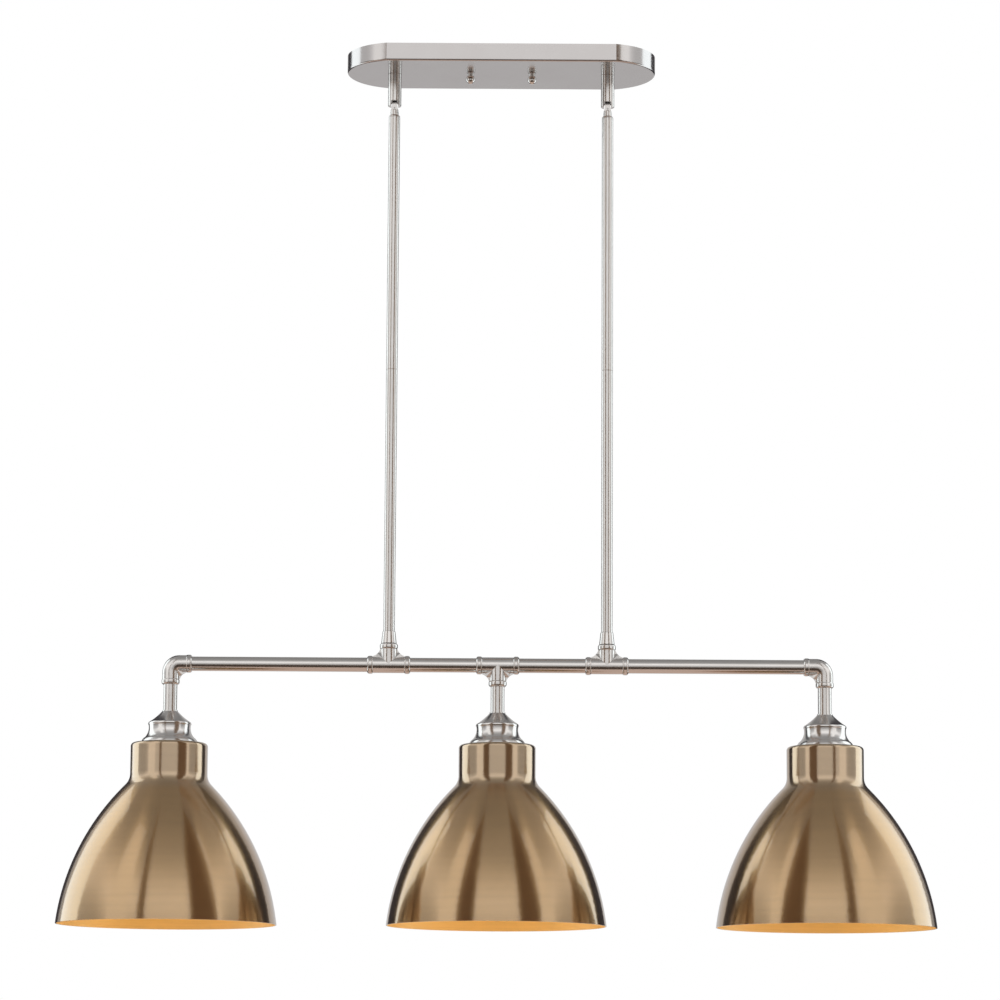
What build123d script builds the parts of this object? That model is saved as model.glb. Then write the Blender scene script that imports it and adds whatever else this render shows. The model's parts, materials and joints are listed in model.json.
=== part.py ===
from build123d import *
from math import sqrt
import os

# Linear island pendant, in millimetres. The ceiling is the plane z = 0 and the light hangs below it.
# X runs along the bar, and Y from the front of the light to its back. The origin is the canopy's centre.

os.makedirs("parts", exist_ok=True)

# ---- Canopy pan: straight sides, and end arcs that meet them at a slight crease
CANOPY_LENGTH = 349.2
CANOPY_WIDTH = 120.6
CANOPY_DEPTH = 20.2
CANOPY_WALL = 1.0
CANOPY_STRAIGHT = 257.6
CANOPY_EDGE_ROUND = 2.2

# ---- Crossbar, studs and ground screw inside the canopy
BOX_SCREW_SPACING = 88.9
BOX_SLOT_LENGTH = 10.0
BOX_SLOT_WIDTH = 4.8
CROSSBAR_LENGTH = 106.0
CROSSBAR_WIDTH = 25.0
CROSSBAR_THICKNESS = 1.6
STUD_SPACING = 69.85
STUD_RADIUS = 2.08
STUD_LENGTH = 25.0
THREAD_GAP = 0.05
GROUND_SCREW_X = 16.0
GROUND_SCREW_RADIUS = 1.7

# ---- Ball knobs
KNOB_RADIUS = 5.2
KNOB_NECK_RADIUS = 3.6
KNOB_CENTRE_Z = -25.7
KNOB_BORE_DEPTH = 5.2

# ---- Threaded lamp nipples (10 mm), their nuts and washers
NIPPLE_RADIUS = 4.95
NIPPLE_BORE = 3.6
NIPPLE_TOP_Z = -9.0
NIPPLE_END_Z = -38.0
NUT_FLATS = 14.0
CUP_NUT_FLATS = 12.6
STUD_NUT_FLATS = 8.7
NUT_THICKNESS = 3.0
STUD_NUT_THICKNESS = 2.8
NUT_CORNER = 0.56
WASHER_RADIUS = 8.4
WASHER_THICKNESS = 1.0

# ---- Hang-straight swivels
ROD_SPACING = 241.6
SWIVEL_RADIUS = 7.5
COLLAR_LENGTH = 11.3
FORK_END_Z = -57.5
FORK_SLOT_TOP_Z = -51.9
FORK_SLOT_HALF = 4.0
FORK_SLOT_ROUND = 1.2
FORK_WIRE_BORE = 2.8
SWING_PIN_Z = -53.7
EYE_PIN_Z = -60.0
PIN_RADIUS = 0.9
PIN_HOLE = 0.95
BARREL_RADIUS = 1.5
BARREL_HALF = 3.4
BARREL_ROUND = 0.8
TONGUE_HALF = 1.3
TONGUE_RADIUS = 3.0
EYE_RADIUS = 3.6
EYE_HALF = 4.3
ROD_NECK_RADIUS = 4.7
ROD_NECK_ROUND = 1.6
ROD_NECK_TOP_Z = -61.0
ROD_NECK_END_Z = -67.8

# ---- Down rods, each in two screwed lengths
ROD_RADIUS = 6.35
ROD_BORE = 5.35
ROD_TOP_Z = -70.3
ROD_SPIGOT = 12.0
ROD_JOINT_Z = -361.8
ROD_CHAMFER = 0.35

# ---- Bar, fittings and drop pipes
BAR_Z = -694.9
PIPE_RADIUS = 7.95
PIPE_BORE = 6.95
DROP_RADIUS = 7.6
DROP_BORE = 6.4
LAMP_SPACING = 361.95
FITTING_RADIUS = 9.0
RING_RADIUS = 10.0
RING_WIDTH = 7.2
RING_ROUND = 2.7
TEE_REACH = 24.0
ELBOW_REACH = 23.5
ELBOW_BEND = 9.6
ELBOW_RADIUS = 9.4
SOCKET_DEPTH = 9.0
FITTING_BORE = 6.2
WEB_TIP = 16.6
WEB_HALF = 2.0
WEB_RISE = 0.6
WEB_DIP = 1.0
ROD_COLLAR_LENGTH = 13.5
ROD_COLLAR_TOP_RADIUS = 7.1
ROD_COLLAR_FOOT_RADIUS = 8.6

# ---- Socket cups
CUP_TOP_Z = -747.2
CUP_LIP_RADIUS = 8.7
CUP_LIP_HEIGHT = 1.0
CUP_SHOULDER_Z = -760.2
CUP_WAIST_Z = -763.5
CUP_CREASE_Z = -777.2
CUP_FOOT_RADIUS = 31.4
CUP_WALL = 1.2
CUP_BOSS_RADIUS = 8.0
CUP_BOSS_DEPTH = 3.0
FOOT_LENGTH = 14.0

# ---- Spun dome shades
SHADE_TOP_Z = -783.3
SHADE_RIM_Z = -982.3
SHADE_RIM_RADIUS = 121.0
SHADE_NECK_RADIUS = 42.5
DOME_START_Z = -824.8
DOME_RADIUS = 260.0
NECK_TOP_ROUND = 4.0
NECK_FOOT_ROUND = 17.0
SHADE_WALL = 1.2
SHADE_HOLE = 20.0

# ---- Medium-base lamp sockets and the rings that clamp the shades
SOCKET_BODY_RADIUS = 19.4
SOCKET_END_Z = -823.0
SOCKET_BUSH_RADIUS = 7.6
SOCKET_BUSH_TOP_Z = -757.0
SOCKET_CAP_RADIUS = 17.0
SOCKET_CAP_TOP_Z = -763.0
SOCKET_FLANGE_RADIUS = 22.5
SOCKET_FLANGE_HEIGHT = 3.0
CUP_NIPPLE_END_Z = -766.0
SHELL_RADIUS = 13.2
SHELL_WALL = 0.6
SHELL_TOP_Z = -796.4
CONTACT_ROOF_Z = -790.0
CONTACT_WELL = 8.0
RING_CLEARANCE = 0.08
SHADE_RING_RADIUS = 28.0
SHADE_RING_HEIGHT = 7.0
SHADE_RING_NOTCHES = 12

# ---- Places worked out from the dimensions above
CANOPY_FLOOR_Z = CANOPY_WALL - CANOPY_DEPTH
COLLAR_END_Z = -CANOPY_DEPTH - COLLAR_LENGTH
TEE_TOP_Z = BAR_Z + TEE_REACH
SIDES = {"left": -1, "right": 1}
LAMP_X = {"left": -LAMP_SPACING, "centre": 0.0, "right": LAMP_SPACING}
ROD_X = {"left": -ROD_SPACING / 2, "right": ROD_SPACING / 2}

ALONG_X = Rotation(0, 90, 0)
ALONG_Y = Rotation(90, 0, 0)


def save(shape, node):
    export_step(shape, f"parts/{node}.step")


def group(solids):
    return Compound(children=list(solids))


def rod_between(radius, z_high, z_low):
    """Upright round bar between two heights."""
    return Pos(0, 0, (z_high + z_low) / 2) * Cylinder(radius, z_high - z_low)


def tube_between(radius, bore, z_high, z_low):
    """Upright tube between two heights."""
    return rod_between(radius, z_high, z_low) - rod_between(bore, z_high + 1, z_low - 1)


def turned(outline):
    """Solid turned about Z from a closed outline of lines in the XZ plane."""
    face = make_face(outline)
    return revolve(Plane.XZ * face, Axis.Z)


def hex_nut(flats, thickness, bore, z_high):
    """Hexagon nut with chamfered corners, its top face at the given height."""
    outer = extrude(RegularPolygon(flats / 2, 6, major_radius=False), thickness)
    dome = Pos(0, 0, thickness / 2) * Cylinder(flats * NUT_CORNER, thickness)
    dome = chamfer(dome.edges().filter_by(GeomType.CIRCLE), 0.5)
    nut = (outer & dome) - Pos(0, 0, thickness / 2) * Cylinder(bore, thickness + 2)
    return Pos(0, 0, z_high - thickness) * nut


# ---- Canopy and what it holds


def canopy_outline():
    half_straight = CANOPY_STRAIGHT / 2
    half_width = CANOPY_WIDTH / 2
    half_length = CANOPY_LENGTH / 2
    front = Line((-half_straight, -half_width), (half_straight, -half_width))
    right = ThreePointArc((half_straight, -half_width), (half_length, 0), (half_straight, half_width))
    back = Line((half_straight, half_width), (-half_straight, half_width))
    left = ThreePointArc((-half_straight, half_width), (-half_length, 0), (-half_straight, -half_width))
    return make_face([front, right, back, left])


def canopy_pan():
    outline = canopy_outline()
    block = extrude(outline, -CANOPY_DEPTH)
    floor_edges = block.edges().group_by(Axis.Z)[0]
    block = fillet(floor_edges, CANOPY_EDGE_ROUND)
    hollow = extrude(offset(outline, -CANOPY_WALL), CANOPY_FLOOR_Z)
    hollow = fillet(hollow.edges().group_by(Axis.Z)[0], CANOPY_EDGE_ROUND - CANOPY_WALL)
    pan = block - hollow
    for x in ROD_X.values():
        pan -= Pos(x, 0, CANOPY_FLOOR_Z) * Cylinder(NIPPLE_RADIUS + THREAD_GAP, 4 * CANOPY_WALL)
    for side in SIDES.values():
        pan -= Pos(side * STUD_SPACING / 2, 0, CANOPY_FLOOR_Z) * Cylinder(STUD_RADIUS + 0.3, 4 * CANOPY_WALL)
    return pan


def crossbar():
    plate = RectangleRounded(CROSSBAR_LENGTH, CROSSBAR_WIDTH, 4)
    plate -= Pos(GROUND_SCREW_X, 0) * Circle(GROUND_SCREW_RADIUS + THREAD_GAP)
    for side in SIDES.values():
        plate -= Pos(side * BOX_SCREW_SPACING / 2, 0) * SlotOverall(BOX_SLOT_LENGTH, BOX_SLOT_WIDTH)
        plate -= Pos(side * STUD_SPACING / 2, 0) * Circle(STUD_RADIUS + THREAD_GAP)
    return extrude(plate, -CROSSBAR_THICKNESS)


def canopy_studs():
    stud = rod_between(STUD_RADIUS, 0, -STUD_LENGTH)
    stud = chamfer(stud.edges().filter_by(GeomType.CIRCLE), 0.4)
    return group(Pos(side * STUD_SPACING / 2, 0, 0) * stud for side in SIDES.values())


def stud_nuts():
    bore = STUD_RADIUS + THREAD_GAP
    nut = hex_nut(STUD_NUT_FLATS, STUD_NUT_THICKNESS, bore, -CROSSBAR_THICKNESS)
    return group(Pos(side * STUD_SPACING / 2, 0, 0) * nut for side in SIDES.values())


def ground_screw():
    """Washer-faced hexagon screw with a driver slot."""
    seat = -CROSSBAR_THICKNESS
    flange_end = seat - 0.8
    head_end = seat - 3.0
    shank = rod_between(GROUND_SCREW_RADIUS, 0, seat)
    flange = rod_between(4.6, seat, flange_end)
    head = Pos(0, 0, head_end) * extrude(RegularPolygon(3.2, 6, major_radius=False), flange_end - head_end)
    slot = Pos(0, 0, head_end) * Box(8, 1.0, 1.4)
    return Pos(GROUND_SCREW_X, 0, 0) * (shank + flange + head - slot)


def ball_knob():
    """Round finger nut that screws up the canopy stud, on a short neck."""
    knob = Pos(0, 0, KNOB_CENTRE_Z) * Sphere(KNOB_RADIUS)
    knob += rod_between(KNOB_NECK_RADIUS, -CANOPY_DEPTH, KNOB_CENTRE_Z)
    return knob - rod_between(STUD_RADIUS + THREAD_GAP, 0, -CANOPY_DEPTH - KNOB_BORE_DEPTH)


# ---- Swivels


def canopy_nipples():
    nipple = tube_between(NIPPLE_RADIUS, NIPPLE_BORE, NIPPLE_TOP_Z, NIPPLE_END_Z)
    return group(Pos(x, 0, 0) * nipple for x in ROD_X.values())


def nipple_washers():
    bore = NIPPLE_RADIUS + THREAD_GAP
    washer = tube_between(WASHER_RADIUS, bore, CANOPY_FLOOR_Z + WASHER_THICKNESS, CANOPY_FLOOR_Z)
    return group(Pos(x, 0, 0) * washer for x in ROD_X.values())


def nipple_nuts():
    nut_top = CANOPY_FLOOR_Z + WASHER_THICKNESS + NUT_THICKNESS
    nut = hex_nut(NUT_FLATS, NUT_THICKNESS, NIPPLE_RADIUS + THREAD_GAP, nut_top)
    return group(Pos(x, 0, 0) * nut for x in ROD_X.values())


def swivel_collar():
    collar = rod_between(SWIVEL_RADIUS, -CANOPY_DEPTH, COLLAR_END_Z)
    collar = chamfer(collar.edges().filter_by(GeomType.CIRCLE), 0.3)
    return collar - rod_between(NIPPLE_RADIUS + THREAD_GAP, 0, COLLAR_END_Z - 1)


def swivel_fork():
    """Round fork with a slot between its two ears, open front and back, its roof corners rounded."""
    through = 2 * SWIVEL_RADIUS + 2
    slot_height = FORK_SLOT_TOP_Z - FORK_END_Z + 2
    fork = rod_between(SWIVEL_RADIUS, COLLAR_END_Z, FORK_END_Z)
    fork = chamfer(fork.edges().filter_by(GeomType.CIRCLE), 0.3)
    slot = Pos(0, 0, FORK_SLOT_TOP_Z - slot_height / 2) * Box(2 * FORK_SLOT_HALF, through, slot_height)
    roof_edges = slot.edges().filter_by(Axis.Y).group_by(Axis.Z)[-1]
    fork -= fillet(roof_edges, FORK_SLOT_ROUND)
    fork -= rod_between(NIPPLE_RADIUS + THREAD_GAP, 0, NIPPLE_END_Z - 0.5)
    fork -= rod_between(FORK_WIRE_BORE, NIPPLE_END_Z, SWING_PIN_Z)
    return fork - Pos(0, 0, SWING_PIN_Z) * ALONG_X * Cylinder(PIN_HOLE, through)


def swivel_pins():
    pin = Pos(0, 0, SWING_PIN_Z) * ALONG_X * Cylinder(PIN_RADIUS, 2 * SWIVEL_RADIUS - 0.6)
    return group(Pos(x, 0, 0) * pin for x in ROD_X.values())


def swivel_link():
    """Barrel on the swing pin, with a tongue below it that takes the crossed eye pin."""
    barrel = Pos(0, 0, SWING_PIN_Z) * ALONG_X * Cylinder(BARREL_RADIUS, 2 * BARREL_HALF)
    barrel = fillet(barrel.edges().filter_by(GeomType.CIRCLE), BARREL_ROUND)
    tongue_end = Pos(0, 0, EYE_PIN_Z) * ALONG_Y * Cylinder(TONGUE_RADIUS, 2 * TONGUE_HALF)
    height = SWING_PIN_Z - EYE_PIN_Z
    tongue = Pos(0, 0, EYE_PIN_Z + height / 2) * Box(2 * TONGUE_RADIUS, 2 * TONGUE_HALF, height)
    link = barrel + tongue + tongue_end
    link -= Pos(0, 0, SWING_PIN_Z) * ALONG_X * Cylinder(PIN_HOLE, 12)
    return link - Pos(0, 0, EYE_PIN_Z) * ALONG_Y * Cylinder(PIN_HOLE, 12)


def link_pins():
    pin = Pos(0, 0, EYE_PIN_Z) * ALONG_Y * Cylinder(PIN_RADIUS, 2 * EYE_HALF)
    return group(Pos(x, 0, 0) * pin for x in ROD_X.values())


def rod_end():
    """Turned end of the down rod: two eyes either side of the tongue, a neck, a shoulder and a spigot."""
    spigot = ROD_BORE - THREAD_GAP
    spigot_end = ROD_TOP_Z - ROD_SPIGOT
    eyes = Pos(0, 0, EYE_PIN_Z) * ALONG_Y * Cylinder(EYE_RADIUS, 2 * EYE_HALF)
    height = EYE_PIN_Z - ROD_NECK_TOP_Z + 1
    eyes += Pos(0, 0, EYE_PIN_Z - height / 2) * Box(2 * EYE_RADIUS, 2 * EYE_HALF, height)
    flat = ROD_NECK_RADIUS - ROD_NECK_ROUND
    round_end = ROD_NECK_TOP_Z - ROD_NECK_ROUND
    outline = [
        Line((0, ROD_NECK_TOP_Z), (flat, ROD_NECK_TOP_Z)),
        TangentArc((ROD_NECK_RADIUS, round_end), (flat, ROD_NECK_TOP_Z), tangent=(0, 1)),
        Line((ROD_NECK_RADIUS, round_end), (ROD_NECK_RADIUS, ROD_NECK_END_Z)),
        TangentArc((ROD_RADIUS, ROD_TOP_Z), (ROD_NECK_RADIUS, ROD_NECK_END_Z), tangent=(0, 1)),
        Line((ROD_RADIUS, ROD_TOP_Z), (spigot, ROD_TOP_Z)),
        Line((spigot, ROD_TOP_Z), (spigot, spigot_end)),
        Line((spigot, spigot_end), (0, spigot_end)),
        Line((0, spigot_end), (0, ROD_NECK_TOP_Z)),
    ]
    end = eyes + turned(outline)
    slot_end = EYE_PIN_Z - TONGUE_RADIUS - 0.6
    slot_top = EYE_PIN_Z + EYE_RADIUS + 1
    slot = Pos(0, 0, (slot_top + slot_end) / 2) * Box(20, 2 * TONGUE_HALF + 0.3, slot_top - slot_end)
    end -= slot
    end -= rod_between(2.4, slot_end + 1, spigot_end - 1)
    return end - Pos(0, 0, EYE_PIN_Z) * ALONG_Y * Cylinder(PIN_HOLE, 12)


# ---- Down rods


def rod_length(z_high, z_low):
    rod = rod_between(ROD_RADIUS, z_high, z_low)
    rod = chamfer(rod.edges().filter_by(GeomType.CIRCLE), ROD_CHAMFER)
    return rod - rod_between(ROD_BORE, z_high + 1, z_low - 1)


def rod_joiners():
    joiner = tube_between(ROD_BORE - THREAD_GAP, NIPPLE_BORE, ROD_JOINT_Z + 12, ROD_JOINT_Z - 12)
    return group(Pos(x, 0, 0) * joiner for x in ROD_X.values())


def rod_collar():
    """Flared collar that locks the rod into the tee below it."""
    bore = ROD_RADIUS + THREAD_GAP
    top = TEE_TOP_Z + ROD_COLLAR_LENGTH
    outline = Polyline(
        (bore, top), (ROD_COLLAR_TOP_RADIUS - 0.3, top), (ROD_COLLAR_TOP_RADIUS, top - 0.5),
        (ROD_COLLAR_FOOT_RADIUS, TEE_TOP_Z), (bore, TEE_TOP_Z), close=True)
    return turned(outline)


# ---- Pipe fittings: beaded ends, and corners that a web fills and thins towards its outer edge


def end_ring(reach):
    """Bead round the mouth of a fitting, for a mouth that faces +Z at the given reach."""
    ring = Pos(0, 0, reach - RING_WIDTH / 2) * Cylinder(RING_RADIUS, RING_WIDTH)
    return fillet(ring.edges().filter_by(GeomType.CIRCLE), RING_ROUND)


def thinning(radius):
    """Section of a web across one pipe: the pipe's full width at its axis, and nothing at the web's tip."""
    sunk = radius - 0.1
    along = sunk * sunk / WEB_TIP
    across = sqrt(sunk * sunk - along * along)
    return make_face(Polyline((0, WEB_TIP), (across, along), (0, -1), (-across, along), close=True))


def corner_web(reach, radius):
    """Web between two mouths at a right angle, +X and +Z: thick in the corner, thinned both ways to a
    plate whose outer edge dips inwards."""
    corner = reach - RING_WIDTH + 0.6
    foot = radius + WEB_RISE
    middle = (corner + foot) / 2 - WEB_DIP
    outline = [
        Line((0, 0), (corner, 0)),
        Line((corner, 0), (corner, foot)),
        ThreePointArc((corner, foot), (middle, middle), (foot, corner)),
        Line((foot, corner), (0, corner)),
        Line((0, corner), (0, 0)),
    ]
    face = Plane.XZ * make_face(outline)
    over_run = extrude(Plane.YZ * thinning(radius), reach)
    beside_branch = Rotation(0, 0, -90) * extrude(Plane.XY * thinning(radius), reach)
    plate = extrude(face, WEB_HALF, both=True)
    return (extrude(face, radius, both=True) & over_run & beside_branch) + plate


def mouth(radius, reach):
    """Counterbore that takes a pipe end, for a mouth that faces +Z."""
    return Pos(0, 0, reach - SOCKET_DEPTH / 2 + 1) * Cylinder(radius + THREAD_GAP, SOCKET_DEPTH + 2)


def tee(branch_radius, branch_bore):
    """Tee about its own centre: the run along X, the branch towards +Z."""
    run = ALONG_X * Cylinder(FITTING_RADIUS, 2 * TEE_REACH - 2)
    branch = Pos(0, 0, TEE_REACH / 2 - 0.5) * Cylinder(FITTING_RADIUS, TEE_REACH - 1)
    body = run + branch
    for turn in (0, 180):
        body += Rotation(0, 0, turn) * corner_web(TEE_REACH, FITTING_RADIUS)
    for turn in (0, 90, -90):
        body += Rotation(0, turn, 0) * end_ring(TEE_REACH)
    body -= ALONG_X * Cylinder(FITTING_BORE, 2 * TEE_REACH)
    body -= Pos(0, 0, TEE_REACH / 2) * Cylinder(branch_bore, TEE_REACH)
    body -= mouth(branch_radius, TEE_REACH)
    for turn in (90, -90):
        body -= Rotation(0, turn, 0) * mouth(PIPE_RADIUS, TEE_REACH)
    return body


def quarter_bend(radius):
    """Quarter ring between a leg towards +X and a leg towards -Z."""
    ring = Pos(ELBOW_BEND, 0, -ELBOW_BEND) * ALONG_Y * Torus(ELBOW_BEND, radius)
    span = ELBOW_BEND + 20
    return ring & Pos(ELBOW_BEND - span / 2, 0, span / 2 - ELBOW_BEND) * Box(span, 40, span)


def elbow():
    """Elbow about its own corner: one mouth towards +X, the other towards -Z."""
    legs = ELBOW_REACH - ELBOW_BEND
    body = quarter_bend(ELBOW_RADIUS)
    body += Pos(ELBOW_BEND + legs / 2 - 0.5, 0, 0) * ALONG_X * Cylinder(ELBOW_RADIUS, legs - 1)
    body += Pos(0, 0, -ELBOW_BEND - legs / 2 + 0.5) * Cylinder(ELBOW_RADIUS, legs - 1)
    body += Rotation(0, 90, 0) * corner_web(ELBOW_REACH, ELBOW_RADIUS)
    for turn in (90, 180):
        body += Rotation(0, turn, 0) * end_ring(ELBOW_REACH)
    body -= quarter_bend(FITTING_BORE)
    body -= Pos(ELBOW_BEND + legs / 2, 0, 0) * ALONG_X * Cylinder(FITTING_BORE, legs)
    body -= Pos(0, 0, -ELBOW_BEND - legs / 2) * Cylinder(FITTING_BORE, legs)
    body -= Rotation(0, 90, 0) * mouth(PIPE_RADIUS, ELBOW_REACH)
    body -= Rotation(0, 180, 0) * mouth(DROP_RADIUS, ELBOW_REACH)
    return body


# ---- Bar and drop pipes


def bar_pipe(x_low, x_high):
    """Horizontal pipe on the bar's axis, seated against the shoulders inside its two fittings."""
    pipe = Cylinder(PIPE_RADIUS, x_high - x_low) - Cylinder(PIPE_BORE, x_high - x_low + 2)
    return Pos((x_low + x_high) / 2, 0, BAR_Z) * ALONG_X * pipe


def drop_pipe(top_z):
    """Short pipe down to the socket cup, with a thicker threaded foot that takes the cup's nipple."""
    pipe = tube_between(DROP_RADIUS, DROP_BORE, top_z, CUP_TOP_Z)
    foot = tube_between(DROP_BORE + 0.2, NIPPLE_RADIUS + THREAD_GAP, CUP_TOP_Z + FOOT_LENGTH, CUP_TOP_Z)
    return pipe + foot


# ---- Socket cups, sockets and shades


def socket_cup():
    """Stepped bell: a lip, a flared cone, a bead, a hollow waist that flares to a crease, and a skirt."""
    crown_point = (CUP_LIP_RADIUS, CUP_TOP_Z)
    lip_point = (CUP_LIP_RADIUS, CUP_TOP_Z - CUP_LIP_HEIGHT)
    shoulder_point = (23.0, CUP_SHOULDER_Z)
    waist_point = (23.3, CUP_WAIST_Z)
    crease_point = (27.3, CUP_CREASE_Z)
    foot_point = (CUP_FOOT_RADIUS, SHADE_TOP_Z)
    lip = Line(crown_point, lip_point)
    cone = ThreePointArc(lip_point, (14.4, -753.8), shoulder_point)
    bead = ThreePointArc(shoulder_point, (23.8, -762.0), waist_point)
    waist = ThreePointArc(waist_point, (23.4, -769.9), crease_point)
    skirt = ThreePointArc(crease_point, (29.4, -779.1), foot_point)
    foot = Line(foot_point, (0, SHADE_TOP_Z))
    axis = Line((0, SHADE_TOP_Z), (0, CUP_TOP_Z))
    crown = Line((0, CUP_TOP_Z), crown_point)
    bell = turned([lip, cone, bead, waist, skirt, foot, axis, crown])
    floor = bell.faces().sort_by(Axis.Z)[0]
    bell = offset(bell, -CUP_WALL, openings=floor)
    bell += rod_between(CUP_BOSS_RADIUS, CUP_TOP_Z - 0.5, CUP_TOP_Z - CUP_BOSS_DEPTH)
    return bell - rod_between(NIPPLE_RADIUS + THREAD_GAP, CUP_TOP_Z + 1, CUP_TOP_Z - CUP_BOSS_DEPTH - 2)


def cup_nipples():
    nipple = tube_between(NIPPLE_RADIUS, NIPPLE_BORE, CUP_TOP_Z + FOOT_LENGTH - 2, CUP_NIPPLE_END_Z)
    return group(Pos(x, 0, 0) * nipple for x in LAMP_X.values())


def cup_nuts():
    nut = hex_nut(CUP_NUT_FLATS, NUT_THICKNESS, NIPPLE_RADIUS + THREAD_GAP, CUP_TOP_Z - CUP_BOSS_DEPTH)
    return group(Pos(x, 0, 0) * nut for x in LAMP_X.values())


def lamp_socket():
    """Moulded socket: a cap with a threaded bush, a flange that rests on the shade, a threaded barrel."""
    flange_top = SHADE_TOP_Z + SOCKET_FLANGE_HEIGHT
    socket = rod_between(SOCKET_BUSH_RADIUS, SOCKET_BUSH_TOP_Z, SOCKET_CAP_TOP_Z - 1)
    cap = rod_between(SOCKET_CAP_RADIUS, SOCKET_CAP_TOP_Z, flange_top)
    socket += fillet(cap.edges().group_by(Axis.Z)[-1], 2.5)
    socket += rod_between(SOCKET_FLANGE_RADIUS, flange_top, SHADE_TOP_Z)
    barrel = rod_between(SOCKET_BODY_RADIUS, SHADE_TOP_Z + 1, SOCKET_END_Z)
    socket += chamfer(barrel.edges().group_by(Axis.Z)[0], 0.8)
    socket -= rod_between(SHELL_RADIUS + SHELL_WALL + THREAD_GAP, SHELL_TOP_Z, SOCKET_END_Z - 1)
    socket -= rod_between(CONTACT_WELL, CONTACT_ROOF_Z, SHELL_TOP_Z - 1)
    return socket - rod_between(NIPPLE_RADIUS + THREAD_GAP, SOCKET_BUSH_TOP_Z + 1, CUP_NIPPLE_END_Z)


def screw_shell():
    outer = SHELL_RADIUS + SHELL_WALL
    shell = tube_between(outer, SHELL_RADIUS, SHELL_TOP_Z, SOCKET_END_Z + 2)
    return shell + tube_between(outer, CONTACT_WELL, SHELL_TOP_Z, SHELL_TOP_Z - SHELL_WALL)


def lamp_contacts():
    """Springy centre contact: a strip riveted to the cavity's roof and bent down in a tongue."""
    roof = CONTACT_ROOF_Z
    outline = Polyline((-5, roof), (4, roof), (4, roof - 0.7), (-1.5, roof - 0.7), (5, roof - 3.9),
                       (4.7, roof - 4.5), (-3.4, roof - 0.7), (-5, roof - 0.7), close=True)
    strip = extrude(Plane.XZ * make_face(outline), 2.5, both=True)
    rivet = Pos(-3.9, 0, roof - 0.9) * Cylinder(1.1, 0.8)
    contact = strip + rivet
    return group(Pos(x, 0, 0) * contact for x in LAMP_X.values())


def shade():
    """Spun dome with a straight neck, a flat top with a socket hole, and a plain cut rim."""
    crown = Line((0, SHADE_TOP_Z), (SHADE_NECK_RADIUS, SHADE_TOP_Z))
    neck = Line((SHADE_NECK_RADIUS, SHADE_TOP_Z), (SHADE_NECK_RADIUS, DOME_START_Z))
    dome = RadiusArc((SHADE_NECK_RADIUS, DOME_START_Z), (SHADE_RIM_RADIUS, SHADE_RIM_Z), DOME_RADIUS)
    rim = Line((SHADE_RIM_RADIUS, SHADE_RIM_Z), (0, SHADE_RIM_Z))
    axis = Line((0, SHADE_RIM_Z), (0, SHADE_TOP_Z))
    profile = make_face([crown, neck, dome, rim, axis])
    neck_top = profile.vertices().sort_by_distance((SHADE_NECK_RADIUS, SHADE_TOP_Z))[0]
    profile = fillet(neck_top, NECK_TOP_ROUND)
    neck_foot = profile.vertices().sort_by_distance((SHADE_NECK_RADIUS, DOME_START_Z))[0]
    profile = fillet(neck_foot, NECK_FOOT_ROUND)
    solid = revolve(Plane.XZ * profile, Axis.Z)
    mouth_face = solid.faces().sort_by(Axis.Z)[0]
    shell = offset(solid, -SHADE_WALL, openings=mouth_face)
    return shell - rod_between(SHADE_HOLE, SHADE_TOP_Z + 1, SHADE_TOP_Z - 3)


def shade_ring():
    """Threaded ring with finger notches that clamps the shade up against the socket's flange."""
    top = SHADE_TOP_Z - SHADE_WALL
    ring = rod_between(SHADE_RING_RADIUS, top, top - SHADE_RING_HEIGHT)
    ring = chamfer(ring.edges().filter_by(GeomType.CIRCLE), 0.8)
    ring -= rod_between(SOCKET_BODY_RADIUS + RING_CLEARANCE, top + 1, top - SHADE_RING_HEIGHT - 1)
    notch = Pos(SHADE_RING_RADIUS + 0.8, 0, top - SHADE_RING_HEIGHT) * Cylinder(2.4, SHADE_RING_HEIGHT)
    for index in range(SHADE_RING_NOTCHES):
        ring -= Rotation(0, 0, index * 360 / SHADE_RING_NOTCHES) * notch
    return ring


# ---- Write every piece

save(canopy_pan(), "canopy_pan")
save(crossbar(), "crossbar")
save(canopy_studs(), "canopy_studs")
save(stud_nuts(), "stud_nuts")
save(ground_screw(), "ground_screw")
save(canopy_nipples(), "canopy_nipples")
save(nipple_washers(), "nipple_washers")
save(nipple_nuts(), "nipple_nuts")
save(swivel_pins(), "swivel_pins")
save(link_pins(), "link_pins")
save(rod_joiners(), "rod_joiners")
save(cup_nipples(), "cup_nipples")
save(cup_nuts(), "cup_nuts")
save(lamp_contacts(), "lamp_contacts")

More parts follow.
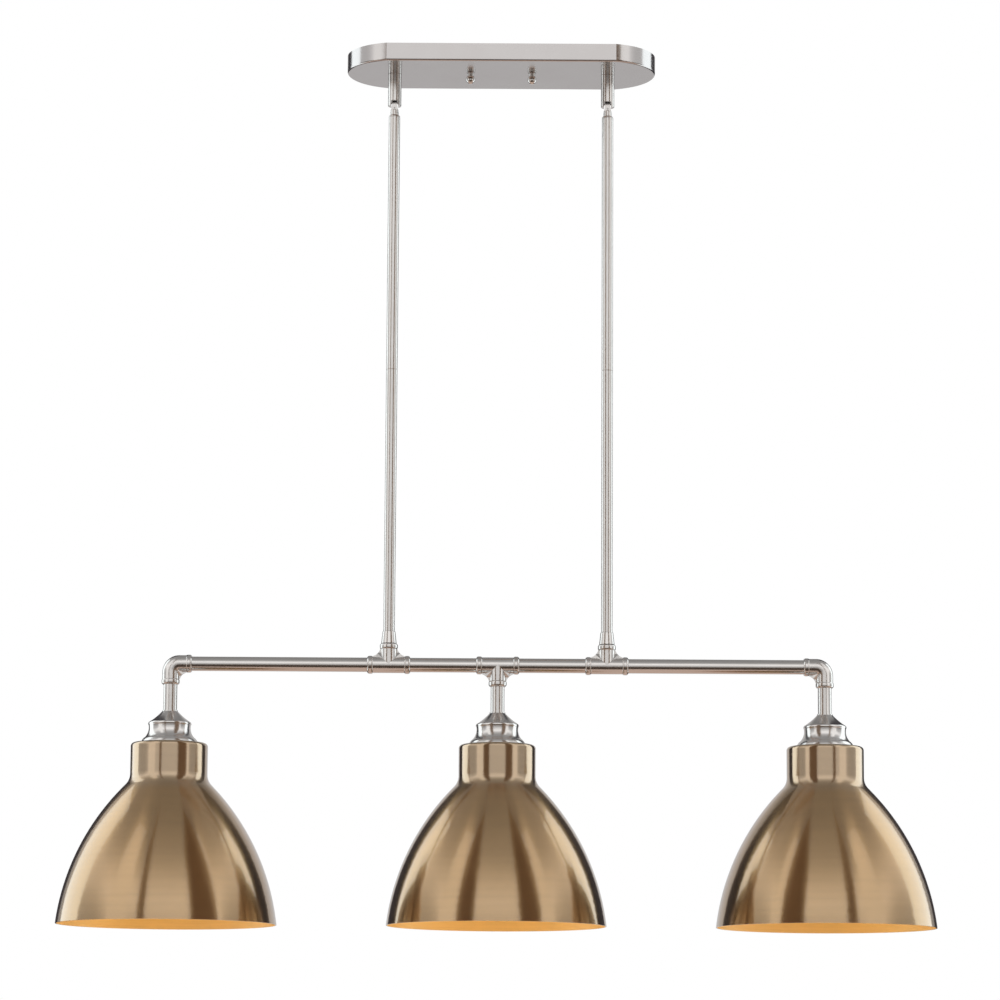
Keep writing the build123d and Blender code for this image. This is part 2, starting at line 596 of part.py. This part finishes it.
for side, direction in SIDES.items():
    rod_place = Pos(ROD_X[side], 0, 0)
    save(Pos(direction * STUD_SPACING / 2, 0, 0) * ball_knob(), f"ball_knob_{side}")
    save(rod_place * swivel_collar(), f"swivel_collar_{side}")
    save(rod_place * swivel_fork(), f"swivel_fork_{side}")
    save(rod_place * swivel_link(), f"swivel_link_{side}")
    save(rod_place * rod_end(), f"rod_end_{side}")
    save(rod_place * rod_length(ROD_TOP_Z, ROD_JOINT_Z), f"upper_rod_{side}")
    save(rod_place * rod_length(ROD_JOINT_Z, TEE_TOP_Z - SOCKET_DEPTH), f"lower_rod_{side}")
    save(rod_place * rod_collar(), f"rod_collar_{side}")
    save(Pos(ROD_X[side], 0, BAR_Z) * tee(ROD_RADIUS, ROD_BORE - 0.3), f"tee_{side}")

    seat = SOCKET_DEPTH - TEE_REACH
    inner_ends = sorted((-direction * seat, ROD_X[side] + direction * seat))
    save(bar_pipe(*inner_ends), f"inner_pipe_{side}")
    elbow_seat = LAMP_X[side] + direction * (SOCKET_DEPTH - ELBOW_REACH)
    outer_ends = sorted((ROD_X[side] - direction * seat, elbow_seat))
    save(bar_pipe(*outer_ends), f"outer_pipe_{side}")
    elbow_turn = 0 if side == "left" else 180
    save(Pos(LAMP_X[side], 0, BAR_Z) * Rotation(0, 0, elbow_turn) * elbow(), f"elbow_{side}")

save(Pos(0, 0, BAR_Z) * Rotation(180, 0, 0) * tee(DROP_RADIUS, FITTING_BORE), "tee_centre")

for lamp, x in LAMP_X.items():
    lamp_place = Pos(x, 0, 0)
    reach = TEE_REACH if lamp == "centre" else ELBOW_REACH
    save(lamp_place * drop_pipe(BAR_Z - reach + SOCKET_DEPTH), f"drop_pipe_{lamp}")
    save(lamp_place * socket_cup(), f"socket_cup_{lamp}")
    save(lamp_place * lamp_socket(), f"lamp_socket_{lamp}")
    save(lamp_place * screw_shell(), f"screw_shell_{lamp}")
    save(lamp_place * shade(), f"shade_{lamp}")
    save(lamp_place * shade_ring(), f"shade_ring_{lamp}")
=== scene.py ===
import math
import bpy
from mathutils import Matrix, Vector
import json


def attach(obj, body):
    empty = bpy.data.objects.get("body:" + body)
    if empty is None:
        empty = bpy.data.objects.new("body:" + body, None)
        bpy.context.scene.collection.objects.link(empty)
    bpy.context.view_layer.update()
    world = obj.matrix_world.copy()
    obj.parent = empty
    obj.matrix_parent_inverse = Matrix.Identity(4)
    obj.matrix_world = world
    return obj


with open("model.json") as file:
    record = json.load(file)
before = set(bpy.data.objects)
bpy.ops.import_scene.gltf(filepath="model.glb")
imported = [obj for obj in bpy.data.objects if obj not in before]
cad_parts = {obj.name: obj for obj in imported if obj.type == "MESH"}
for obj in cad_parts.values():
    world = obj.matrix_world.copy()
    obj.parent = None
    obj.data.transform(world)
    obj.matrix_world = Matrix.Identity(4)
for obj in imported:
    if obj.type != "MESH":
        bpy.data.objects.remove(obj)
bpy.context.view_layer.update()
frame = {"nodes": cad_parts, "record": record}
nodes = frame["nodes"]
record = frame["record"]

# Places are in metres, in the frame of the solids. Shade rings turn about the lamps' axes and ball
# knobs about the studs' axes.
joints = {joint["name"]: joint["pos_m"] for joint in record["behaviour"]["joints"]}
LAMP_AXES = {side: joints["ring_turn_" + side][0] for side in ("left", "centre", "right")}
LAMP_SPACING = LAMP_AXES["right"]
STUD_SPACING = 2 * joints["knob_turn_right"][0]
ROD_SPACING = 0.2416
FULL_TURN = 2 * math.pi


# ---------------------------------------------------------------- shader helpers
class Link:
    """A shader socket that takes plain arithmetic."""

    def __init__(self, shading, socket):
        self.shading = shading
        self.socket = socket

    def __add__(self, other):
        return self.shading.math("ADD", self, other)

    def __radd__(self, other):
        return self.shading.math("ADD", other, self)

    def __sub__(self, other):
        return self.shading.math("SUBTRACT", self, other)

    def __rsub__(self, other):
        return self.shading.math("SUBTRACT", other, self)

    def __mul__(self, other):
        return self.shading.math("MULTIPLY", self, other)

    def __rmul__(self, other):
        return self.shading.math("MULTIPLY", other, self)

    def __truediv__(self, other):
        return self.shading.math("DIVIDE", self, other)

    def __rtruediv__(self, other):
        return self.shading.math("DIVIDE", other, self)

    def sway(self, amount):
        """A noise turned into a swing to both sides of nothing."""
        return (self - 0.5) * amount


def place_stops(ramp, stops):
    """Give a colour ramp its stops. A new ramp has one at 0 and one at 1 already."""
    for position, colour in stops:
        if position == 0.0:
            stop = ramp.elements[0]
        elif position == 1.0:
            stop = ramp.elements[len(ramp.elements) - 1]
        else:
            stop = ramp.elements.new(position)
        stop.color = colour


class Shading:
    """The nodes of one finish or of the room's light, and short ways to add them."""

    def __init__(self, tree):
        self.tree = tree
        tree.nodes.clear()

    def node(self, kind, settings=None, sockets=None, output=0):
        """Add a node, its settings first, and link to one of its outputs where it has any."""
        made = self.tree.nodes.new(kind)
        for key, value in (settings or {}).items():
            if key == "stops":
                place_stops(made.color_ramp, value)
            else:
                setattr(made, key, value)
        for key, value in (sockets or {}).items():
            if isinstance(value, Link):
                self.tree.links.new(value.socket, made.inputs[key])
            else:
                made.inputs[key].default_value = value
        return Link(self, made.outputs[output]) if made.outputs else None

    def math(self, operation, first, second=None):
        values = {0: first} if second is None else {0: first, 1: second}
        return self.node("ShaderNodeMath", {"operation": operation}, values)

    def place(self):
        """The point on the object, in metres."""
        return self.node("ShaderNodeTexCoord", output=3)

    def parts(self, vector):
        split = self.node("ShaderNodeSeparateXYZ", sockets={0: vector})
        return [Link(self, output) for output in split.socket.node.outputs]

    def vector(self, x, y, z):
        return self.node("ShaderNodeCombineXYZ", sockets={0: x, 1: y, 2: z})

    def noise(self, vector, scale, detail=3.0, roughness=0.55):
        return self.node(
            "ShaderNodeTexNoise",
            sockets={"Vector": vector, "Scale": scale, "Detail": detail, "Roughness": roughness},
        )

    def spread(self, value, low, high, to_low=0.0, to_high=1.0):
        """Stretch the values from low to high over a new range, and hold them at its ends."""
        return self.node(
            "ShaderNodeMapRange", sockets={0: value, 1: low, 2: high, 3: to_low, 4: to_high},
        )

    def blend(self, factor, first, second):
        """From the first colour to the second; either may be a link or three numbers."""
        colours = [c if isinstance(c, Link) else (*c, 1.0) for c in (first, second)]
        return self.node(
            "ShaderNodeMix", {"data_type": "RGBA"}, {0: factor, 6: colours[0], 7: colours[1]}, output=2,
        )

    def mottle(self, marks, colour, deep):
        """A colour with cloudy patches of a second one."""
        return self.blend(self.spread(marks, 0.3, 0.7), colour, deep)


class Finish(Shading):
    """One material."""

    def __init__(self, name):
        self.mat = bpy.data.materials.new(name)
        self.mat.use_nodes = True
        super().__init__(self.mat.node_tree)

    def bump(self, height, distance, strength):
        return self.node(
            "ShaderNodeBump", sockets={"Height": height, "Distance": distance, "Strength": strength},
        )

    def show(self, shader):
        self.node("ShaderNodeOutputMaterial", sockets={0: shader})
        return self.mat

    def surface(self, **sockets):
        named = {key.replace("_", " "): value for key, value in sockets.items()}
        return self.show(self.node("ShaderNodeBsdfPrincipled", sockets=named))


def darker(colour, share):
    return tuple(part * share for part in colour)


def about_lamp(finish):
    """Distance from the nearest lamp's axis, turn round it, and height."""
    x, y, z = finish.parts(finish.place())
    lamp = finish.math("ROUND", x / LAMP_SPACING)
    off = x - lamp * LAMP_SPACING
    radius = finish.math("SQRT", off * off + y * y)
    turn = finish.math("ARCTAN2", y, off)
    return radius, turn, z


# ---------------------------------------------------------------- finishes
# Depth of the marks that a finish leaves, in metres.
HAIR_LINE = 0.00002
SPINNING_RING = 0.00004
FINE_GRAIN = 0.00003
CASTING_SKIN = 0.00016
THREAD_RIDGE = 0.0004

# How fast a line's noise changes along the line, as a share of how fast it does across it.
ALONG_LINE = 0.02
# The same round a spun shade, in metres for each radian: for its fine rings, and for the broader
# bands of the tool's passes.
ROUND_FINE_RING = 0.0006
ROUND_BAND = 0.002

# Heights between which the shade's tone changes: up the dome, and at the foot of the neck. These tones
# are painted light on one brass.
DOME_PAINTED_LIGHT = (-0.98, -0.84)
NECK_FOOT_PAINTED_LIGHT = (-0.838, -0.822)

# Turn of the highlight that lathe rings stretch, as a share of a full turn.
HIGHLIGHT_TURN = 0.25


def spun_brass(name, neck, foot, rim, rough, drawn, rings, metal=1.0, lacquer=0.0):
    """Spun brass, toned from the neck over the neck's foot to the rim with painted light, and lacquered
    if asked for.
    """
    f = Finish(name)
    radius, turn, z = about_lamp(f)
    fine = f.noise(f.vector(radius, turn * ROUND_FINE_RING, z), scale=5200.0, detail=2.0)
    bands = f.noise(f.vector(radius, turn * ROUND_BAND, z), scale=190.0, detail=2.0)
    cloud = f.noise(f.place(), scale=14.0, detail=4.0)
    # Painted light: a paler neck over a darker, warmer dome and rim, on brass of one colour.
    dome = f.blend(f.spread(z, *DOME_PAINTED_LIGHT), rim, foot)
    tone = f.blend(f.spread(z, *NECK_FOOT_PAINTED_LIGHT), dome, neck)
    marks = f.spread(cloud + bands.sway(0.5) + fine.sway(0.7), 0.2, 0.8, 0.90, 1.05)
    return f.surface(
        Base_Color=f.node("ShaderNodeVectorMath", {"operation": "SCALE"}, {0: tone, "Scale": marks}),
        Metallic=metal,
        Roughness=rough + fine.sway(0.06) + cloud.sway(0.04),
        Anisotropic=drawn,
        Anisotropic_Rotation=HIGHLIGHT_TURN,
        Normal=f.bump(fine * 0.8 + bands * 0.25, SPINNING_RING, rings),
        Coat_Weight=lacquer,
        Coat_Roughness=0.05,
    )


def drawn_nickel(name, colour, deep, rough, across, relief=0.5):
    """Satin plate with hair lines that lie across the given direction."""
    f = Finish(name)
    x, y, z = f.parts(f.place())
    if across == "x":
        lines = f.vector(x, y * ALONG_LINE, z * ALONG_LINE)
    else:
        lines = f.vector(x * ALONG_LINE, y * ALONG_LINE, z)
    hair = f.noise(lines, scale=2600.0)
    cloud = f.noise(f.place(), scale=22.0, detail=4.0)
    return f.surface(
        Base_Color=f.mottle(cloud, colour, deep),
        Metallic=1.0,
        Roughness=rough + hair.sway(0.16 * relief) + cloud.sway(0.05),
        Normal=f.bump(hair, HAIR_LINE, relief),
    )


def cast_nickel(name, colour, deep, rough):
    """Satin plate over the soft, gritty skin of a casting."""
    f = Finish(name)
    grit = f.noise(f.place(), scale=1500.0, roughness=0.6)
    lumps = f.noise(f.place(), scale=260.0, detail=2.0)
    cloud = f.noise(f.place(), scale=40.0)
    return f.surface(
        Base_Color=f.mottle(cloud, colour, deep),
        Metallic=1.0,
        Roughness=rough + grit.sway(0.10),
        Normal=f.bump(lumps * 0.8 + grit * 0.3, CASTING_SKIN, 0.6),
    )


def turned_nickel(name, colour, deep, rough):
    """Satin plate on lathe-turned pieces, with rings round their own upright axis."""
    f = Finish(name)
    x, y, z = f.parts(f.place())
    rings = f.noise(f.vector(x * ALONG_LINE, y * ALONG_LINE, z), scale=3600.0, detail=2.0)
    cloud = f.noise(f.place(), scale=30.0)
    return f.surface(
        Base_Color=f.mottle(cloud, colour, deep),
        Metallic=1.0,
        Roughness=rough + rings.sway(0.10) + cloud.sway(0.05),
        Anisotropic=0.45,
        Anisotropic_Rotation=HIGHLIGHT_TURN,
        Normal=f.bump(rings, HAIR_LINE, 0.5),
    )


def plain_metal(name, colour, deep, rough, scale):
    f = Finish(name)
    marks = f.noise(f.place(), scale, detail=4.0)
    return f.surface(
        Base_Color=f.mottle(marks, colour, deep),
        Metallic=1.0,
        Roughness=rough + marks.sway(0.18),
        Normal=f.bump(marks, FINE_GRAIN, 0.5),
    )


def threaded_zinc(name, colour, rough, spacing, pitch):
    """Zinc plate with a fine screw thread round the two upright axes that are the spacing apart, its
    grooves darkened as painted shade.
    """
    f = Finish(name)
    x, y, z = f.parts(f.place())
    axis = (f.math("ROUND", x / spacing - 0.5) + 0.5) * spacing
    turn = f.math("ARCTAN2", y, x - axis) / FULL_TURN
    climb = f.math("FRACT", z / pitch - turn)
    ridge = f.math("ABSOLUTE", climb - 0.5) * 2.0
    marks = f.noise(f.place(), scale=400.0)
    return f.surface(
        # Painted shade: the grooves between the thread's ridges are coloured darker.
        Base_Color=f.blend(f.spread(ridge, 0.1, 0.9), darker(colour, 0.6), colour),
        Metallic=1.0,
        Roughness=rough + marks.sway(0.18),
        Normal=f.bump(ridge, THREAD_RIDGE, 1.0),
    )


def moulding(name, colour, light):
    """Moulded socket body."""
    f = Finish(name)
    grain = f.noise(f.place(), scale=900.0, detail=4.0)
    return f.surface(
        Base_Color=f.blend(grain, colour, light),
        Roughness=f.spread(grain, 0.0, 1.0, 0.38, 0.6),
        Normal=f.bump(grain, FINE_GRAIN, 0.6),
    )


def green_plate(name, colour):
    """Coloured plate on the ground screw."""
    f = Finish(name)
    grain = f.noise(f.place(), scale=700.0)
    return f.surface(
        Base_Color=f.blend(grain, colour, darker(colour, 0.7)),
        Metallic=0.6,
        Roughness=f.spread(grain, 0.0, 1.0, 0.25, 0.45),
    )


# Each metal's colour, with the deeper one of its cloudy patches.
NICKEL = (0.71, 0.69, 0.675)
NICKEL_DEEP = (0.67, 0.645, 0.625)
# The canopy is the same nickel as the rods, painted darker: a painted shade on it.
CANOPY_NICKEL_PAINTED_SHADE = (0.585, 0.565, 0.56)
CANOPY_NICKEL_PAINTED_SHADE_DEEP = (0.565, 0.54, 0.535)
KNOB_NICKEL = (0.74, 0.72, 0.70)
ZINC = (0.62, 0.62, 0.63)
ZINC_DEEP = (0.5, 0.5, 0.5)
PIN_STEEL = (0.45, 0.44, 0.43)
PIN_STEEL_DEEP = (0.36, 0.35, 0.34)
SHELL_BRASS = (0.74, 0.56, 0.27)
SHELL_BRASS_DEEP = (0.62, 0.45, 0.2)
SCREW_GREEN = (0.05, 0.3, 0.12)
SOCKET_BLACK = (0.03, 0.03, 0.032)
SOCKET_BLACK_LIGHT = (0.045, 0.045, 0.048)
# Tones of the shades' outer brass by height. The brass is one colour; the paler neck and the darker,
# warmer dome and rim are painted light.
SHADE_NECK_PAINTED_LIGHT = (0.51, 0.38, 0.25)
SHADE_FOOT_PAINTED_LIGHT = (0.50, 0.315, 0.15)
SHADE_RIM_PAINTED_LIGHT = (0.475, 0.32, 0.17)
GOLD = (0.98, 0.70, 0.31)

# Pitch of the screw threads: 32 to the inch on the studs, 27 to the inch on the nipples.
STUD_PITCH = 0.000794
NIPPLE_PITCH = 0.00094

# The finish of each material slot.
finishes = {
    # The canopy's nickel is painted darker than the rods' nickel, as painted shade.
    "canopy_nickel": drawn_nickel(
        "canopy_satin_painted_shade", CANOPY_NICKEL_PAINTED_SHADE, CANOPY_NICKEL_PAINTED_SHADE_DEEP, rough=0.17, across="z", relief=0.08,
    ),
    "nickel": turned_nickel("turned_satin", NICKEL, NICKEL_DEEP, rough=0.20),
    "cast_nickel": cast_nickel("cast_satin", NICKEL, NICKEL_DEEP, rough=0.19),
    # The outside's three tones by height are painted light.
    "spun_brass": spun_brass(
        "spun_brass_outside", SHADE_NECK_PAINTED_LIGHT, SHADE_FOOT_PAINTED_LIGHT, SHADE_RIM_PAINTED_LIGHT,
        rough=0.20, drawn=0.9, rings=0.5, lacquer=1.0,
    ),
    "zinc_steel": plain_metal("zinc_plate", ZINC, ZINC_DEEP, rough=0.32, scale=300.0),
    "pin_steel": plain_metal("pin_steel", PIN_STEEL, PIN_STEEL_DEEP, rough=0.35, scale=400.0),
    "green_screw": green_plate("green_plate", SCREW_GREEN),
    "shell_brass": plain_metal("shell_brass", SHELL_BRASS, SHELL_BRASS_DEEP, rough=0.26, scale=250.0),
    "socket_moulding": moulding("black_moulding", SOCKET_BLACK, SOCKET_BLACK_LIGHT),
}
brass_inside = spun_brass(
    "spun_brass_inside", GOLD, GOLD, GOLD, rough=0.5, drawn=0.0, rings=0.3, metal=0.25,
)
bar_satin = drawn_nickel("bar_satin", NICKEL, NICKEL_DEEP, rough=0.19, across="x")
rod_satin = drawn_nickel("rod_satin", NICKEL, NICKEL_DEEP, rough=0.22, across="z")
knob_polish = drawn_nickel("knob_polish", KNOB_NICKEL, NICKEL, rough=0.07, across="x", relief=0.05)
stud_thread = threaded_zinc(
    "stud_thread", ZINC, rough=0.32, spacing=STUD_SPACING, pitch=STUD_PITCH,
)
nipple_thread = threaded_zinc(
    "nipple_thread", ZINC, rough=0.32, spacing=ROD_SPACING, pitch=NIPPLE_PITCH,
)

# Nodes with a finish of their own, by the first part of their name.
special = {
    "inner_pipe": bar_satin,
    "outer_pipe": bar_satin,
    "upper_rod": rod_satin,
    "lower_rod": rod_satin,
    "drop_pipe": rod_satin,
    "ball_knob": knob_polish,
    "canopy_studs": stud_thread,
    "canopy_nipples": nipple_thread,
}

slots = {part["node"]: part["material_slot"] for part in record["subparts"]}
for name, node in nodes.items():
    finish = finishes[slots[name]]
    for start, other in special.items():
        if name.startswith(start):
            finish = other
    node.data.materials.clear()
    node.data.materials.append(finish)

# A shade's face is gold where more than this share of its direction points at the lamp's axis.
INWARD_SHARE = 0.15
for side, axis in LAMP_AXES.items():
    shade = nodes["shade_" + side].data
    shade.materials.append(brass_inside)
    for face in shade.polygons:
        x = face.center.x - axis
        y = face.center.y
        outward = face.normal.x * x + face.normal.y * y
        if outward < -INWARD_SHARE * math.hypot(x, y):
            face.material_index = 1


# ---------------------------------------------------------------- rolled threads of the lamp shells
SHELL_BORE = 0.0132
SHELL_CREST = 0.0124
SHELL_PITCH = 0.00363
SHELL_HIGH = -0.7990
SHELL_LOW = -0.8195
WALL_GAP = 0.00002
RIDGE_SHARE = 0.98
STEPS_PER_TURN = 48
FADE_STEPS = 12
POINTS_ACROSS = 7


def mesh_piece(name, points, faces, material):
    mesh = bpy.data.meshes.new(name)
    mesh.from_pydata(points, [], faces)
    mesh.materials.append(material)
    piece = bpy.data.objects.new(name, mesh)
    bpy.context.scene.collection.objects.link(piece)
    return piece


def rolled_thread(name, axis_x):
    """One rounded ridge that climbs the inside of the shell and fades into the wall at both ends."""
    turns = (SHELL_HIGH - SHELL_LOW - SHELL_PITCH) / SHELL_PITCH
    steps = int(turns * STEPS_PER_TURN)
    points = []
    for step in range(steps + 1):
        angle = FULL_TURN * step / STEPS_PER_TURN
        middle = SHELL_LOW + SHELL_PITCH / 2 + SHELL_PITCH * step / STEPS_PER_TURN
        fade = min(1.0, step / FADE_STEPS, (steps - step) / FADE_STEPS)
        for index in range(POINTS_ACROSS):
            part = index / (POINTS_ACROSS - 1)
            rise = math.sin(math.pi * part) ** 2 * fade
            reach = SHELL_BORE - WALL_GAP - (SHELL_BORE - SHELL_CREST) * rise
            height = middle + (part - 0.5) * SHELL_PITCH * RIDGE_SHARE
            points.append((axis_x + reach * math.cos(angle), reach * math.sin(angle), height))
    faces = []
    for step in range(steps):
        for index in range(POINTS_ACROSS - 1):
            low = step * POINTS_ACROSS + index
            high = low + POINTS_ACROSS
            faces.append((low, low + 1, high + 1, high))
    piece = mesh_piece(name, points, faces, finishes["shell_brass"])
    for face in piece.data.polygons:
        face.use_smooth = True
    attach(piece, "hanging_frame")


for side, axis in LAMP_AXES.items():
    rolled_thread("shell_thread_" + side, axis)


# ---------------------------------------------------------------- studio
def glow(name, colour, strength):
    f = Finish(name)
    return f.show(f.node("ShaderNodeEmission", sockets={"Color": (*colour, 1.0), "Strength": strength}))


def dull(name, colour):
    f = Finish(name)
    return f.surface(Base_Color=(*colour, 1.0), Roughness=0.9)


def flat(name, centre, width, height, facing, material, seen=False):
    """A plain card of the studio, turned to face a point. An unseen one shows in reflections only."""
    centre = Vector(centre)
    ahead = Vector(facing) - centre
    across = Vector((0, 0, 1)).cross(ahead)
    if across.length < 1e-6:
        across = Vector((1, 0, 0))
    across.normalize()
    up = ahead.normalized().cross(across)
    corners = []
    for a, b in ((-1, -1), (1, -1), (1, 1), (-1, 1)):
        corners.append(tuple(centre + across * a * width / 2 + up * b * height / 2))
    card = mesh_piece(name, corners, [(0, 1, 2, 3)], material)
    card.visible_camera = seen
    card.visible_diffuse = seen
    card.visible_shadow = seen
    return card


black = dull("studio_black", (0.045, 0.042, 0.055))
brown = dull("brown_board", (0.085, 0.048, 0.028))
side_glow = glow("side_glow", (0.92, 0.985, 1.0), 1.65)
front_glow = glow("front_glow", (1.0, 0.99, 0.97), 1.15)
back_glow = glow("back_glow", (1.0, 0.985, 0.985), 0.6)
umber = dull("umber_card", (0.29, 0.185, 0.11))
under_glow = glow("under_glow", (1.0, 0.75, 0.31), 2.45)
low_glow = glow("low_glow", (1.0, 0.755, 0.63), 0.66)
pale = dull("pale_floor", (0.82, 0.70, 0.60))

# The two dark cards stand nearly edge on to the lamp on their own side.
flat(
    "dark_card_left", centre=(-1.106, -2.10, 0.3), width=2.58, height=4.6,
    facing=(-0.146, -2.379, 0.3), material=umber,
)
flat(
    "dark_card_right", centre=(1.003, -1.767, 0.3), width=2.28, height=4.6,
    facing=(0.042, -2.043, 0.3), material=umber,
)
for side in (-1, 1):
    flat(
        f"front_panel_{side}", centre=(side * 2.8, -2.15, 1.6), width=1.3, height=5.8,
        facing=(0, 0, 1.6), material=front_glow,
    )
    flat(
        f"dark_flag_{side}", centre=(side * 0.72, 0.86, -0.5), width=0.50, height=2.6,
        facing=(0, 0, -0.5), material=black,
    )
    flat(
        f"soft_box_{side}", centre=(side * 2.0, 0.975, -0.3), width=1.45, height=3.2,
        facing=(0, 0.975, -0.3), material=side_glow,
    )
flat(
    "back_wall", centre=(0, 3.2, -1.2), width=4.4, height=3.6,
    facing=(0, 0, -1.2), material=back_glow,
)

# The lying cards face a point above the object. Each lamp has one under it that lights its inside.
OVERHEAD = 5
for place, axis in zip((-1, 0, 1), LAMP_AXES.values()):
    under_card = flat(
        f"under_card_{place}", centre=(axis, 0, -1.24), width=0.26, height=0.26,
        facing=(axis, 0, OVERHEAD), material=under_glow,
    )
    under_card.visible_diffuse = True
    under_card.visible_glossy = False
flat(
    "low_board", centre=(0, -3.4, -2.3), width=6.0, height=4.4,
    facing=(0, -3.4, OVERHEAD), material=brown,
)
flat(
    "low_glow", centre=(0, 0.9, -2.25), width=6.0, height=4.0,
    facing=(0, 0.9, OVERHEAD), material=low_glow,
)
flat(
    "floor", centre=(0, 0, -2.35), width=14, height=14,
    facing=(0, 0, OVERHEAD), material=pale, seen=True,
)

# The light round the room: the sine of its angle above the horizon, and how bright it is there.
# It falls off straight to both sides and toward the back.
ROOM_LEVELS = (
    (-1.0, 0.42), (-0.35, 0.21), (-0.10, 0.36), (0.03, 0.68), (0.22, 0.76), (0.30, 0.88),
    (0.42, 1.1), (0.55, 0.84), (0.68, 0.5), (0.85, 0.34), (1.0, 0.27),
)
ROOM_WARMTH = (1.0, 0.99, 0.98)

world = bpy.data.worlds.new("studio")
bpy.context.scene.world = world
world.use_nodes = True
room = Shading(world.node_tree)
sideways, depth, height = room.parts(room.node("ShaderNodeTexCoord", output=0))
levels = [(at * 0.5 + 0.5, (*darker(ROOM_WARMTH, bright), 1.0)) for at, bright in ROOM_LEVELS]
ramp = room.node("ShaderNodeValToRGB", {"stops": levels}, {0: height * 0.5 + 0.5})
side_fall = room.spread(room.math("ABSOLUTE", sideways), 0.84, 0.94, 1.2, 0.78)
back_fall = room.spread(depth, 0.25, 0.65, 1.0, 0.42)
lit = room.node("ShaderNodeBackground", sockets={"Color": ramp, "Strength": side_fall * back_fall})
white = room.node("ShaderNodeBackground", sockets={"Color": (1, 1, 1, 1), "Strength": 1.0})
camera_ray = room.node("ShaderNodeLightPath", output=0)
both = room.node("ShaderNodeMixShader", sockets={0: camera_ray, 1: lit, 2: white})
room.node("ShaderNodeOutputWorld", sockets={0: both})

bpy.context.scene.view_settings.view_transform = "Standard"

# ---------------------------------------------------------------- camera
SENSOR_WIDTH = 36.0
PICTURE_WIDTH = 1000.0
FOCAL_PIXELS = 3795.0
CAMERA_PLACE = (0.0014, -4.18, -1.185)
PITCH = math.radians(9.185)
ROLL = math.radians(0.344)

camera_data = bpy.data.cameras.new("camera")
camera_data.sensor_fit = "HORIZONTAL"
camera_data.sensor_width = SENSOR_WIDTH
camera_data.lens = FOCAL_PIXELS / PICTURE_WIDTH * SENSOR_WIDTH
camera_data.clip_start = 0.05
camera_data.clip_end = 60.0
camera = bpy.data.objects.new("camera", camera_data)
bpy.context.scene.collection.objects.link(camera)
camera.location = CAMERA_PLACE
ahead = Vector((0, math.cos(PITCH), math.sin(PITCH)))
right = Vector((1, 0, 0))
up = right.cross(ahead)
right_tilted = right * math.cos(ROLL) + up * math.sin(ROLL)
up_tilted = up * math.cos(ROLL) - right * math.sin(ROLL)
turn = [[right_tilted[i], up_tilted[i], -ahead[i]] for i in range(3)]
camera.rotation_euler = Matrix(turn).to_euler()
bpy.context.scene.camera = camera
